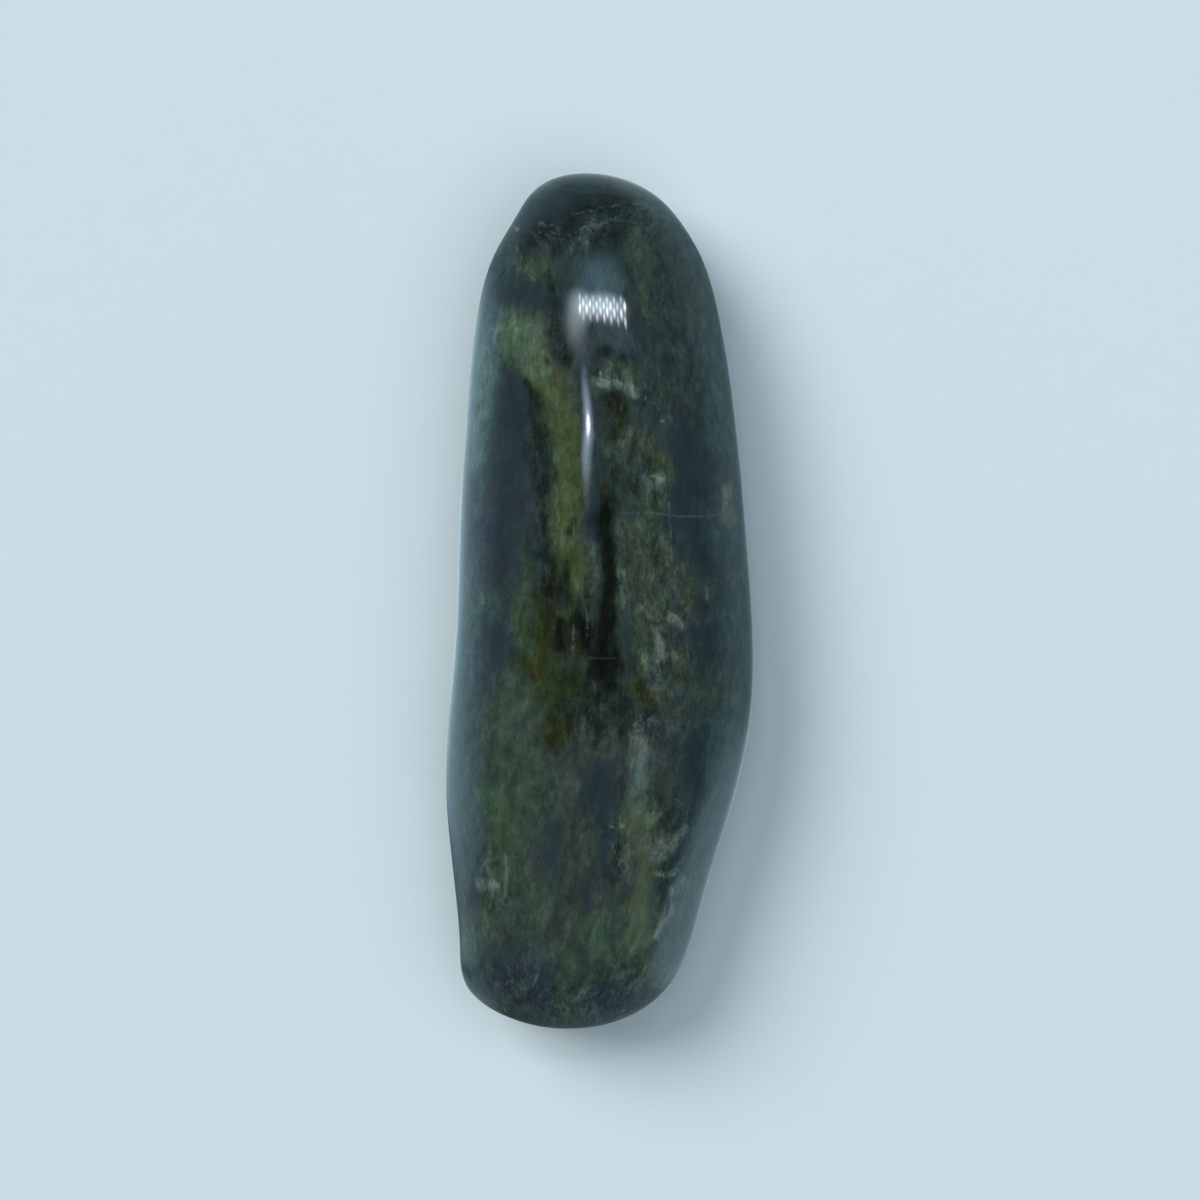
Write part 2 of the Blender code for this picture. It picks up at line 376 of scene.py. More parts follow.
        ((3.4, -1.2, 0.9), (3.6, -3.0, 1.0), (3.0, -4.6, 1.0)),
        ((-1.2, -6.8, 1.2), (0.6, -7.2, 1.2), (2.4, -7.2, 1.1), (4.0, -7.2, 1.0)),
        ((1.0, -13.4, 0.8), (1.2, -15.4, 0.9)),
        ((3.4, -12.4, 1.0), (4.2, -14.4, 1.4), (4.4, -16.6, 1.2), (3.6, -19.4, 1.0)),
        ((-6.4, -15.2, 0.8), (-6.0, -17.4, 0.8)),
        ((-5.4, -22.4, 1.2), (-2.0, -23.6, 1.0), (1.6, -22.8, 1.6), (3.6, -20.8, 1.0)),
    ),
    "pale": (
        ((0.0, 12.6, 0.28), (0.4, 12.6, 0.28)),
        ((1.0, 12.9, 0.15), (1.6, 12.7, 0.25), (2.3, 12.2, 0.2)),
        ((2.35, -8.2, 0.5), (2.4, -9.2, 0.55), (2.4, -10.0, 0.4), (2.3, -11.2, 0.25)),
        ((7.6, 6.5, 0.25), (7.7, 5.6, 0.35), (8.0, 4.8, 0.25)),
        ((3.4, 7.4, 0.2), (3.4, 6.7, 0.25)),
        ((3.4, -1.7, 0.15), (3.45, -2.6, 0.2), (3.6, -3.4, 0.2)),
        ((4.1, -0.7, 0.15), (4.6, -1.05, 0.2), (4.9, -1.6, 0.15)),
        ((-6.9, -16.7, 0.25), (-6.1, -16.6, 0.25)),
        ((3.1, -14.8, 0.2), (3.7, -14.7, 0.28), (4.4, -14.2, 0.28), (5.2, -13.4, 0.2)),
        ((3.3, -15.9, 0.15), (4.0, -16.1, 0.22), (4.7, -15.8, 0.15)),
        ((5.0, -16.2, 0.15), (4.4, -17.6, 0.2), (3.8, -18.7, 0.2), (3.3, -19.6, 0.15)),
    ),
}

# Fine streaks of mineral, given the same way. The edge of a line lies a little outside its width, so that a
# width near or below zero is a faint line.
STROKES = (
    ((0.75, 12.95, 0.04), (1.2, 12.7, 0.07), (1.7, 12.4, 0.07), (2.0, 12.0, 0.06), (2.4, 11.8, 0.07),
     (2.8, 11.9, 0.03)),
    ((1.4, 13.1, 0.03), (2.0, 12.6, 0.05), (2.5, 12.2, 0.05), (2.9, 12.1, 0.03)),
    ((0.7, 13.9, 0.03), (1.2, 13.5, 0.05), (1.6, 13.0, 0.03)),
    ((2.3, 17.3, 0.02), (2.6, 16.9, 0.04), (2.9, 16.2, 0.02)),
    ((3.7, 17.6, 0.02), (4.0, 16.2, 0.03), (4.3, 14.8, 0.03), (4.6, 13.5, 0.02)),
    ((-1.7, 20.2, 0.02), (-1.4, 21.3, 0.05), (-0.8, 21.9, 0.05), (-0.1, 22.0, 0.04), (0.6, 22.25, 0.06),
     (1.6, 22.6, 0.02)),
    ((-1.0, 21.2, 0.02), (-0.5, 21.6, 0.05), (0.0, 21.8, 0.02)),
    ((-1.6, 22.6, 0.01), (0.4, 23.0, 0.03), (2.2, 23.2, 0.03), (3.4, 22.9, 0.01)),
    ((-4.3, 19.7, 0.03), (-4.1, 19.1, 0.06), (-3.8, 18.8, 0.03)),
    ((-3.5, 22.1, 0.06), (-2.8, 22.0, 0.08)),
    ((-4.9, 20.8, 0.03), (-4.6, 20.0, 0.05), (-4.7, 19.4, 0.03)),
    ((2.8, 7.25, 0.05), (3.3, 7.3, 0.08), (3.7, 7.05, 0.05)),
    ((2.85, 7.0, 0.06), (2.9, 6.4, 0.04)),
    ((3.9, 6.9, 0.06), (3.8, 6.1, 0.07)),
    ((4.05, 5.8, 0.03), (4.15, 4.2, 0.04), (4.2, 2.4, 0.02)),
    ((1.0, 2.0, 0.03), (1.15, 1.2, 0.07), (1.3, 0.7, 0.05), (1.5, -0.6, 0.04)),
    ((-1.5, -1.2, 0.03), (-1.55, -2.7, 0.06)),
    ((-0.7, -0.4, 0.04), (-0.75, -2.4, 0.05)),
    ((5.0, -2.1, 0.03), (5.2, -3.3, 0.05)),
    ((6.3, 0.7, 0.04), (6.3, -0.1, 0.07)),
    ((-2.5, 6.9, 0.03), (-2.45, 6.2, 0.07), (-2.5, 5.7, 0.03)),
    ((-2.4, 5.2, 0.03), (-2.3, 4.2, 0.05), (-2.2, 3.2, 0.03)),
    ((-1.6, 5.0, 0.02), (-1.5, 4.0, 0.04), (-1.6, 3.2, 0.02)),
    ((-6.85, 0.4, 0.03), (-6.75, -0.4, 0.08)),
    ((1.9, -7.4, 0.03), (2.4, -7.0, 0.06), (2.9, -6.9, 0.04), (3.4, -7.1, 0.06)),
    ((2.1, -7.7, 0.03), (2.9, -7.35, 0.04)),
    ((0.5, -14.0, 0.03), (0.9, -14.6, 0.06), (1.2, -15.7, 0.04)),
    ((0.5, -13.2, 0.03), (1.0, -13.3, 0.05), (1.6, -13.1, 0.03)),
    ((1.6, -13.8, 0.02), (1.75, -15.0, 0.04)),
    ((3.0, -14.7, 0.05), (3.6, -14.75, 0.09), (4.2, -14.4, 0.06), (4.8, -13.7, 0.04), (5.4, -13.2, 0.03)),
    ((3.2, -15.9, 0.03), (4.0, -16.1, 0.06), (4.7, -15.8, 0.03)),
    ((5.0, -16.2, 0.04), (4.4, -17.6, 0.07), (3.8, -18.7, 0.05), (3.3, -19.6, 0.03)),
    ((-5.5, -14.6, 0.04), (-5.45, -15.8, 0.06), (-5.5, -17.2, 0.03)),
    ((-7.0, -17.0, 0.06), (-6.4, -16.6, 0.08)),
    ((-3.4, -21.4, 0.03), (-3.9, -22.5, 0.06)),
    ((-5.6, -23.0, 0.04), (-5.5, -24.0, 0.04)),
    ((0.7, -24.2, 0.03), (1.3, -24.0, 0.04), (2.0, -24.0, 0.02)),
    ((0.9, -20.4, 0.03), (1.3, -20.9, 0.05), (0.9, -21.4, 0.04)),
    ((4.4, -11.6, 0.07), (4.8, -11.8, 0.03)),
)

# Small pale inclusions, given the same way.
FLECKS = (
    ((-0.02, 12.8, 0.27), (0.23, 12.7, 0.42), (0.48, 12.8, 0.27)),
    ((-0.02, 13.55, 0.09), (0.0, 13.42, 0.14), (0.03, 13.3, 0.08)),
    ((3.6, 10.5, 0.06), (3.68, 10.5, 0.06)),
    ((3.1, 7.3, 0.02), (3.3, 7.3, 0.06), (3.5, 7.2, 0.03)),
    ((3.35, -1.5, -0.04), (3.4, -2.1, 0.02), (3.45, -2.8, 0.04), (3.6, -3.3, 0.01)),
    ((4.0, -0.6, -0.02), (4.3, -0.8, 0.02), (4.7, -1.15, 0.02), (4.9, -1.6, -0.02)),
    ((-4.9, 21.8, 0.08), (-4.8, 21.7, 0.08)),
)

# Healed cracks, given the same way.
HAIRLINES = (
    ((1.2, 5.15, 0.0), (3.0, 5.15, 0.03), (4.2, 5.0, 0.03), (5.4, 4.95, 0.03), (7.4, 5.05, 0.0)),
    ((-0.5, -3.35, -0.02), (0.9, -3.35, -0.02)),
    ((-7.4, 9.6, 0.0), (-6.9, 9.5, 0.0)),
)

BAND_WOBBLE = 0.22  # how far the bands wander from their paths
BAND_WOBBLE_LENGTH = 2.6  # the mean length of the waves in which they wander
BAND_WOBBLE_SEEDS = (11, 12)  # for the waves across and along
FARTHEST = -2.0  # the depth in a band that is given to all points far from it

# On the underside, slow waves take the place of the bands. A band's colour shows there where its wave rises
# past 1 less the number given for it here, so below 0 it hardly ever does.
BELOW_COVER = {
    "mist": 0.5, "teal_and_rim_sheen": 0.4, "green": 0.5, "arch_and_left_sheen": 0.2, "slate": 0.6, "veil": 0.3, "moss": 0.1, "shade": 0.3,
    "dark": 0.2, "olive": 0.2, "rust": 0.0, "vein": 0.0, "apex": -0.2, "wisp": 0.3, "pale": -0.4,
}
BELOW_STRETCH = (1.0, 0.45, 1.0)  # the patches are longest along the stone
BELOW_LENGTH = 3.0  # the mean length of the waves
BELOW_STEEPNESS = 1.4  # how fast a patch grows deep inside its edge
BELOW_SEED = 20  # for the first band, with the others following
BELOW_BLEND = 1.5  # the height over which the upper side goes over to the underside

# The bands in which the fibres stand out most, and those in which they stand out least.
CRISP_BANDS = ("veil", "shade", "wisp")
CALM_BANDS = ("slate", "moss")
CONTRAST = 0.65  # how much the fibres stand out in the other bands, as a share
CRISP_GAIN = 0.5
CALM_LOSS = 0.35

# The fibres draw together where the stone is narrower. Their pattern is at its own scale at this half width,
# and a greater ease draws it together less.
GRAIN_HALF_WIDTH = 8.0
GRAIN_EASE = 6.0

# Near the narrow end the fibres turn to run round it. That starts at this place along Y and is done this much
# further on, where the pattern is drawn out across the stone, squeezed along it, and stands out less.
TURN_START = 20.5
TURN_LENGTH = 3.5
TURN_WIDENING = 0.6
TURN_SQUEEZE = 4.0
TURN_CALM = 0.5

BAND_STEP, STROKE_STEP = 0.2, 0.05  # how far apart the places are at which a path is read
STROKE_REACH = 0.25  # how far to the side of a stroke its width is half gone
STROKE_END = 0.1  # how far past its end
NO_STROKE = -0.1  # the width where there is no stroke


def path_points(path, step):
    """Places along the natural spline through a path's x, y and half width, about a step apart."""
    path = np.array(path)
    knots = np.arange(len(path))
    run = np.hypot(*np.diff(path[:, :2], axis=0).T).sum()
    fine = np.linspace(0, knots[-1], max(4, int(run / step)))
    return (smooth_through(knots, column, fine) for column in path.T)


def near_path(points, x, y, margin):
    """Which points lie within a margin of the box round a path's places."""
    low = np.array([x.min(), y.min()]) - margin
    high = np.array([x.max(), y.max()]) + margin
    return np.flatnonzero(((points > low) & (points < high)).all(axis=1))


def in_band(points, paths):
    """How deep each point lies in the nearest band: 1 on its path, 0 at its edge, and less than 0 outside.

    It is 1 less the distance to the path over the half width there, and no less than the farthest.
    """
    depth = np.full(len(points), FARTHEST)
    for path in paths:
        x, y, half = path_points(path, BAND_STEP)
        near = near_path(points, x, y, (1 - FARTHEST) * half.max())
        gap = np.hypot(points[near, 0, None] - x, points[near, 1, None] - y) / half
        depth[near] = np.maximum(depth[near], 1 - gap.min(axis=1))
    return depth


def on_stroke(points, paths):
    """Each point's distance to one side of the nearest stroke, and half the stroke's width there.

    The distance has a sign, so that it runs evenly across a stroke that is finer than the mesh. The width
    falls to less than nothing past the stroke's ends and away from it.
    """
    side = np.ones(len(points))
    width = np.full(len(points), NO_STROKE)
    nearest = np.full(len(points), np.inf)
    for path in paths:
        x, y, half = path_points(path, STROKE_STEP)
        heading = np.stack([np.gradient(x), np.gradient(y)])
        heading /= np.linalg.norm(heading, axis=0)
        near = near_path(points, x, y, 4 * STROKE_REACH)
        dx, dy = points[near, 0, None] - x, points[near, 1, None] - y
        gap = np.hypot(dx, dy)
        first = gap.argmin(axis=1)
        row = np.arange(len(near))
        dx, dy, gap = dx[row, first], dy[row, first], gap[row, first]
        across = dx * heading[1, first] - dy * heading[0, first]
        beyond = np.abs(dx * heading[0, first] + dy * heading[1, first])
        inside = np.clip(1.5 - beyond / STROKE_END, 0, 1) * np.clip(1.5 - np.abs(across) / STROKE_REACH, 0, 1)
        closer = gap < nearest[near]
        at = near[closer]
        side[at] = across[closer]
        width[at] = NO_STROKE + (half[first][closer] - NO_STROKE) * inside[closer]
        nearest[at] = gap[closer]
    return side, width


def stone_zones(points):
    """What the colours of the stone follow, as one number, or one vector, for each point.

    A point is carried straight away from the eye onto the widest level, where the paths are drawn: its x and
    y grow as the view distance over the point's own distance. A band's depth is that in its paths above the
    waist, and that in its patches below it.
    """
    x, y, z = points.T
    middle, half_width, _, _ = section_sizes(
        np.clip(y, -LENGTH / 2, LENGTH / 2),
        np.sqrt(np.clip(1 - (2 * y / LENGTH) ** 2, 0, 1)),
    )
    above = z - WAIST_HEIGHT
    upper = np.clip(above / BELOW_BLEND + 0.5, 0, 1)
    drawn = points[:, :2] * (VIEW_DISTANCE / (VIEW_DISTANCE - above))[:, None]
    wobble = np.stack([drift(points, seed, BAND_WOBBLE_LENGTH) for seed in BAND_WOBBLE_SEEDS], axis=1)
    wandering = drawn + BAND_WOBBLE * wobble
    zones = {}
    for seed, (name, paths) in enumerate(BANDS.items(), start=BELOW_SEED):
        wave = drift(points * BELOW_STRETCH, seed, BELOW_LENGTH)
        below = np.clip(BELOW_STEEPNESS * (wave + BELOW_COVER[name] - 1), FARTHEST, 1)
        zones[name] = upper * in_band(wandering, paths) + (1 - upper) * below
    for name, paths in (("stroke", STROKES), ("fleck", FLECKS), ("hairline", HAIRLINES)):
        side, width = on_stroke(drawn, paths)
        zones[name + "_side"] = side
        zones[name + "_width"] = np.where(upper > 0.5, width, NO_STROKE)

    # How far out to the sides the stone is, from 0 in its middle to 1 at its flanks.
    zones["flank"] = np.clip(np.abs(x - middle) / np.maximum(half_width, 0.5), 0, 1)

    # Where the grain is read, and how much it stands out.
    turning = np.clip((y - TURN_START) / TURN_LENGTH, 0, 1)
    drawn_in = (GRAIN_HALF_WIDTH + GRAIN_EASE) / (half_width + GRAIN_EASE)
    across = (x - middle) * drawn_in * (1 - TURN_WIDENING * turning)
    zones["grain"] = np.stack([across, y + TURN_SQUEEZE * turning ** 2, z], axis=1)
    crisp = np.clip(0.5 + np.max([zones[name] for name in CRISP_BANDS], axis=0), 0, 1)
    calm = np.clip(0.5 + np.max([zones[name] for name in CALM_BANDS], axis=0), 0, 1)
    contrast = CONTRAST + CRISP_GAIN * crisp - CALM_LOSS * calm
    zones["contrast"] = contrast * (1 - TURN_CALM * turning)
    return zones


def pebble(material):
    """The fine skin of the stone, which stands for its plain solid."""
    points, faces = stone_grid()
    mesh = bpy.data.meshes.new("pebble")
    mesh.from_pydata((points * MM).tolist(), [], faces)
    mesh.shade_smooth()
    for name, values in stone_zones(points).items():
        kind, field = ("FLOAT_VECTOR", "vector") if values.ndim == 2 else ("FLOAT", "value")
        mesh.attributes.new(name, kind, "POINT").data.foreach_set(field, values.astype(np.float32).ravel())
    mesh.materials.append(material)
    piece = bpy.data.objects.new("pebble", mesh)
    bpy.context.scene.collection.objects.link(piece)
    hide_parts("stone")
    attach(piece, "root")
    return piece


# ----------------------------------------------------------------------------------------------------
# Materials
# ----------------------------------------------------------------------------------------------------


def linear(colour):
    """The linear red, green, blue and alpha of an sRGB colour written as hex."""
    parts = [int(colour[i : i + 2], 16) / 255 for i in (1, 3, 5)]
    return (*(c / 12.92 if c <= 0.04045 else ((c + 0.055) / 1.055) ** 2.4 for c in parts), 1.0)


def add(tree, kind, sockets=None, **settings):
    """Adds a node with its settings. A socket, by name or number, gets a value or is linked to an output."""
    made = tree.nodes.new("ShaderNode" + kind)
    for name, value in settings.items():
        setattr(made, name, value)
    for socket, value in (sockets or {}).items():
        if isinstance(value, bpy.types.NodeSocket):
            tree.links.new(value, made.inputs[socket])
        else:
            made.inputs[socket].default_value = value
    return made


SMOOTH = {"interpolation_type": "SMOOTHSTEP"}  # a Map Range node's setting for a smooth step

# A Mix node's setting and sockets for colours.
COLOURS = {"data_type": "RGBA"}
FACTOR, UNDER, OVER, MIXED = 0, 6, 7, 2

# How far the fibres bend across, along and down, in millimetres, and the bends to a millimetre.
BEND = (0.8, 0.4, 0.8)
BENDS = 0.25

# Noise through the stone: cycles per millimetre across the fibres, along them and down, its octaves, and how
# rough they are. Fibres are about 0.3 mm wide, and crystals make mottles from 0.3 to 3 mm wide.
NOISES = {
    "fibres": ((2.2, 0.8, 1.5), 2.0, 0.8),
    "mottle": ((1.6, 0.8, 1.2), 3.0, 0.85),
    "tint": ((0.5, 0.3, 0.4), 2.0, 0.6),
    "ragged": ((1.1, 0.32, 0.8), 3.0, 0.75),
    "curls": ((0.9, 0.8, 0.9), 2.0, 0.5),
}

# The stone between the bands, and how it changes towards the flanks: where that starts and how far it goes.
GROUND_COLOUR = "#2e3b3a"
# The flank colour is partly the stone's own bluer tint and partly a painted reflection of the bluish rim.
FLANK_TINT_AND_SHEEN_COLOUR = "#2f464b"
FLANK_START = 0.6
FLANK_COVER = 0.5

# The colours of the stone, from the deepest layer up: the band, the depths in it at which the colour starts
# and is full, how ragged its edge is, its mean colour, and how far it covers what is below it.
LAYERS = (
    ("mist", -1.2, 1.2, 0.9, "#343e38", 0.8),
    # A painted reflection round the rim on the upper side, and teal stone below.
    ("teal_and_rim_sheen", -1.2, 1.2, 1.0, "#2d4247", 0.7),
    ("green", -1.3, 1.3, 0.9, "#384b3c", 0.8),
    # A painted reflection on the upper left flank, and lighter teal stone below.
    ("arch_and_left_sheen", -1.0, 1.0, 0.6, "#445c5f", 0.85),
    ("slate", -1.2, 1.1, 0.5, "#263239", 0.9),
    ("veil", -1.1, 1.0, 0.8, "#3a4739", 0.9),
    ("moss", -1.1, 1.0, 0.6, "#4d5c49", 0.88),
    ("olive", -1.5, 1.0, 1.2, "#2b3419", 0.94),
    ("rust", -1.4, 1.0, 1.0, "#27251a", 0.85),
    ("vein", -0.7, 0.7, 0.35, "#404d33", 0.97),
    ("apex", -1.0, 0.9, 0.5, "#4a5c48", 0.88),
    ("shade", -1.4, 1.0, 0.9, "#1a211c", 0.76),
    ("dark", -1.3, 0.6, 0.8, "#0e130d", 0.95),
    ("pale", -1.2, 1.0, 0.7, "#586860", 0.86),
)

# A ragged edge is moved by the depth given when the noise is this far off its middle value, 0.5.
RAGGED_SPAN = 0.25

# How much the noise changes the three parts of the colour from one mottle to the next.
TINT_CHANGE = 0.45

# The e-folds of lightness between the noise's least and greatest values, where the contrast is full, and the
# share of the mottles, not the fibres, in that noise.
TONE_CHANGE = 5.0
MOTTLE_SHARE = 0.6

# Fine pale curls, drawn where the noise passes its middle value: how far from it they reach, their colour,
# and how far they cover the stone. Then the depths in a wisp, and the values of the mottles, at which they
# start and are whole.
CURL_WIDTH = 0.05
CURL_COLOUR = "#6d7a70"
CURL_COVER = 0.2
WISP_START, WISP_WHOLE = -0.3, 0.8
CURL_START, CURL_WHOLE = 0.46, 0.58

# The lines in the stone: their kind, their colour, how far they cover what is below them, and the value of
# the mottles at which they are whole.
LINES = (
    ("stroke", "#64756e", 0.38, 0.56),
    ("fleck", "#6d786f", 0.85, 0.52),
    ("hairline", "#566b6c", 0.35, 0.45),
)
LINE_WANDER = 0.04  # how far the lines wander, in millimetres
LINE_OUTSIDE, LINE_INSIDE = 0.12, 0.08  # how far outside and inside its width the edge of a line reaches
LINE_BREAKS = 0.14  # how much below the value at which it is whole a line is gone

DIOPSIDE_IOR = 1.68
SMOOTHEST, ROUGHEST = 0.03, 0.05  # the roughness that the polish leaves
PITTING = 0.01  # the depth of the faint unevenness that it leaves, in millimetres
PITTING_STRENGTH = 0.1  # the share of it that the bump shows
NOISE_LOW, NOISE_HIGH = 0.3, 0.7  # the values between which most of the noise lies

BOARD_COLOUR = "#c9dbe2"
BOARD_ROUGHNESS = 0.9
BOARD_SHINE = 0.1


def polished_diopside():
    """Diopside, tumbled and polished: dark blue-green stone with fibres along its length and olive veins.

    The polish gives sharp reflections, which are strong at the edges because of the high refractive index.
    The colour lies in the stone and not on it, so its bands have soft edges. Towards the rims it also holds a
    painted reflection of their bluish glow.
    """
    material = bpy.data.materials.new("polished_diopside")
    material.use_nodes = True
    tree = material.node_tree
    tree.nodes.clear()

    grain = add(tree, "Attribute", attribute_name="grain")
    bend = add(tree, "TexNoise", {"Vector": grain.outputs["Vector"], "Scale": BENDS, "Detail": 1.0})
    bent = add(
        tree, "VectorMath", {0: bend.outputs["Color"], 1: BEND, 2: grain.outputs["Vector"]},
        operation="MULTIPLY_ADD",
    )
    noise = {}
    for name, (cycles, octaves, roughness) in NOISES.items():
        stretched = add(tree, "VectorMath", {0: bent.outputs["Vector"], 1: cycles}, operation="MULTIPLY")
        noise[name] = add(
            tree, "TexNoise",
            {"Vector": stretched.outputs["Vector"], "Scale": 1.0, "Detail": octaves, "Roughness": roughness},
        ).outputs[0]
    tints = noise["tint"].node.outputs["Color"]

    # The ground turns bluer towards the flanks: partly the stone's tint, partly a painted reflection of the
    # rim.
    flank = add(tree, "Attribute", attribute_name="flank")
    share = add(tree, "MapRange", {0: flank.outputs["Fac"], 1: FLANK_START, 2: 1.0, 4: FLANK_COVER}, **SMOOTH)
    colour = add(
        tree, "Mix",
        {FACTOR: share.outputs[0], UNDER: linear(GROUND_COLOUR), OVER: linear(FLANK_TINT_AND_SHEEN_COLOUR)},
        **COLOURS,
    ).outputs[MIXED]

    for band, start, full, raggedness, band_colour, cover in LAYERS:
        depth = add(tree, "Attribute", attribute_name=band)
        worn = add(
            tree, "MapRange",
            {0: noise["ragged"], 1: 0.5 - RAGGED_SPAN, 2: 0.5 + RAGGED_SPAN, 3: -raggedness, 4: raggedness},
            clamp=False,
        )
        edge = add(tree, "Math", {0: depth.outputs["Fac"], 1: worn.outputs[0]}, operation="ADD")
        share = add(tree, "MapRange", {0: edge.outputs[0], 1: start, 2: full, 4: cover}, **SMOOTH)
        colour = add(
            tree, "Mix", {FACTOR: share.outputs[0], UNDER: colour, OVER: linear(band_colour)}, **COLOURS,
        ).outputs[MIXED]

    # Every mottle leans a little to one colour, and the fibres and mottles make all of it lighter and darker,
    # most of all where the contrast is full.
    lean = add(
        tree, "VectorMath", {0: tints, 1: [TINT_CHANGE] * 3, 2: [1 - TINT_CHANGE / 2] * 3},
        operation="MULTIPLY_ADD",
    )
    colour = add(tree, "VectorMath", {0: colour, 1: lean.outputs[0]}, operation="MULTIPLY").outputs[0]
    contrast = add(tree, "Attribute", attribute_name="contrast")
    texture = add(tree, "Mix", {0: MOTTLE_SHARE, 2: noise["fibres"], 3: noise["mottle"]}, data_type="FLOAT")
    change = add(tree, "Math", {0: texture.outputs[0], 1: 0.5}, operation="SUBTRACT")
    change = add(tree, "Math", {0: change.outputs[0], 1: TONE_CHANGE}, operation="MULTIPLY")
    change = add(tree, "Math", {0: change.outputs[0], 1: contrast.outputs["Fac"]}, operation="MULTIPLY")
    tone = add(tree, "Math", {0: change.outputs[0]}, operation="EXPONENT")
    colour = add(tree, "VectorMath", {0: colour, "Scale": tone.outputs[0]}, operation="SCALE").outputs[0]

    # The curls, broken where the mottles are dark.
    from_middle = add(tree, "Math", {0: noise["curls"], 1: 0.5}, operation="SUBTRACT")
    away = add(tree, "Math", {0: from_middle.outputs[0]}, operation="ABSOLUTE")
    curl = add(tree, "MapRange", {0: away.outputs[0], 1: CURL_WIDTH, 2: 0.0}, **SMOOTH)
    wisp = add(tree, "Attribute", attribute_name="wisp")
    within = add(tree, "MapRange", {0: wisp.outputs["Fac"], 1: WISP_START, 2: WISP_WHOLE}, **SMOOTH)
    broken = add(
        tree, "MapRange", {0: noise["mottle"], 1: CURL_START, 2: CURL_WHOLE, 4: CURL_COVER}, **SMOOTH,
    )
    curl = add(tree, "Math", {0: curl.outputs[0], 1: within.outputs[0]}, operation="MULTIPLY")
    share = add(tree, "Math", {0: curl.outputs[0], 1: broken.outputs[0]}, operation="MULTIPLY")
    colour = add(
        tree, "Mix", {FACTOR: share.outputs[0], UNDER: colour, OVER: linear(CURL_COLOUR)}, **COLOURS,
    ).outputs[MIXED]

    # The lines, each drawn where the distance to its side is less than its width, and broken like the curls.
    for lines, line_colour, cover, whole in LINES:
        side = add(tree, "Attribute", attribute_name=lines + "_side")
        width = add(tree, "Attribute", attribute_name=lines + "_width")
        wander = add(
            tree, "MapRange",
            {0: noise["ragged"], 1: NOISE_LOW, 2: NOISE_HIGH, 3: -LINE_WANDER, 4: LINE_WANDER},
            clamp=False,
        )
        place = add(tree, "Math", {0: side.outputs["Fac"], 1: wander.outputs[0]}, operation="ADD")
        away = add(tree, "Math", {0: place.outputs[0]}, operation="ABSOLUTE")
        depth = add(tree, "Math", {0: width.outputs["Fac"], 1: away.outputs[0]}, operation="SUBTRACT")
        line = add(
            tree, "MapRange", {0: depth.outputs[0], 1: -LINE_OUTSIDE, 2: LINE_INSIDE, 4: cover}, **SMOOTH,
        )
        broken = add(tree, "MapRange", {0: noise["mottle"], 1: whole - LINE_BREAKS, 2: whole}, **SMOOTH)
        share = add(tree, "Math", {0: line.outputs[0], 1: broken.outputs[0]}, operation="MULTIPLY")
        colour = add(
            tree, "Mix", {FACTOR: share.outputs[0], UNDER: colour, OVER: linear(line_colour)}, **COLOURS,
        ).outputs[MIXED]

    gloss = add(
        tree, "MapRange", {0: noise["ragged"], 1: NOISE_LOW, 2: NOISE_HIGH, 3: SMOOTHEST, 4: ROUGHEST},
    )
    relief = add(
        tree, "Bump",
        {"Height": noise["ragged"], "Strength": PITTING_STRENGTH, "Distance": PITTING * MM},
    )
    shader = add(
        tree, "BsdfPrincipled",
        {
            "Base Color": colour,
            "Roughness": gloss.outputs[0],
            "IOR": DIOPSIDE_IOR,
            "Normal": relief.outputs["Normal"],
        },
    )
    output = add(tree, "OutputMaterial")
    tree.links.new(shader.outputs[0], output.inputs["Surface"])
    return material


def matt_board():
    """Matt painted board: pale, cool and plain, with hardly a shine."""
    material = bpy.data.materials.new("matt_painted_board")
    material.use_nodes = True
    shader = material.node_tree.nodes["Principled BSDF"]
    shader.inputs["Base Color"].default_value = linear(BOARD_COLOUR)
    shader.inputs["Roughness"].default_value = BOARD_ROUGHNESS
    shader.inputs["Specular IOR Level"].default_value = BOARD_SHINE
    return material


# ----------------------------------------------------------------------------------------------------
# Table, light and camera
# ----------------------------------------------------------------------------------------------------

TABLE_SIZE = 6.0  # metres

FRAME_WIDTH = 70.18  # what the picture spans at the stone's widest level
PICTURE_MIDDLE = (0.03, 0.05)  # x and y of its middle
SENSOR = 36.0  # the width of the camera's sensor

LAMP_DISTANCE = 0.5  # metres from the stone to each lamp that shows in it

# Distant lights, which don't show in the stone: direction to them, width in degrees, strength and colour.
DISTANT = {
    "key": ((-0.55, 0.42, 0.72), 35.0, 2.4, "#fffaf4"),
    "fill": ((0.25, -0.15, 0.95), 60.0, 1.2, "#f6faff"),
}

# Lamps that show in the polish: x and y of the place on the stone that mirrors it, the parts along X and Y of
# the direction to it from there, width and height of the lamp in metres, how much of it is its soft edge, its
# radiance and its colour.
MIRRORED = {
    "bulb": ((-0.65, 10.3), (-0.123, 0.170), (0.024, 0.025), 1.0, 25.0, "#ffffff"),
    "bulb_holder": ((-0.65, 10.3), (-0.123, 0.171), (0.066, 0.114), 1.0, 6.5, "#b8ccec"),
    "shade": ((-0.7, 13.6), (-0.104, 0.215), (0.065, 0.110), 0.8, 0.45, "#8fb0e0"),
    "reflector": ((-1.55, 16.5), (-0.186, 0.332), (0.160, 0.092), 1.0, 5.5, "#cadce6"),
    "strip_glow": ((0.1, 17.0), (0.034, 0.346), (0.310, 0.060), 1.0, 7.5, "#cce4f4"),
    "strip_tail": ((0.8, 15.8), (0.150, 0.285), (0.240, 0.060), 1.0, 0.6, "#84b4d4"),
    "panel": ((-0.2, 18.8), (0.020, 0.420), (0.340, 0.180), 0.9, 1.7, "#84b4d4"),
}

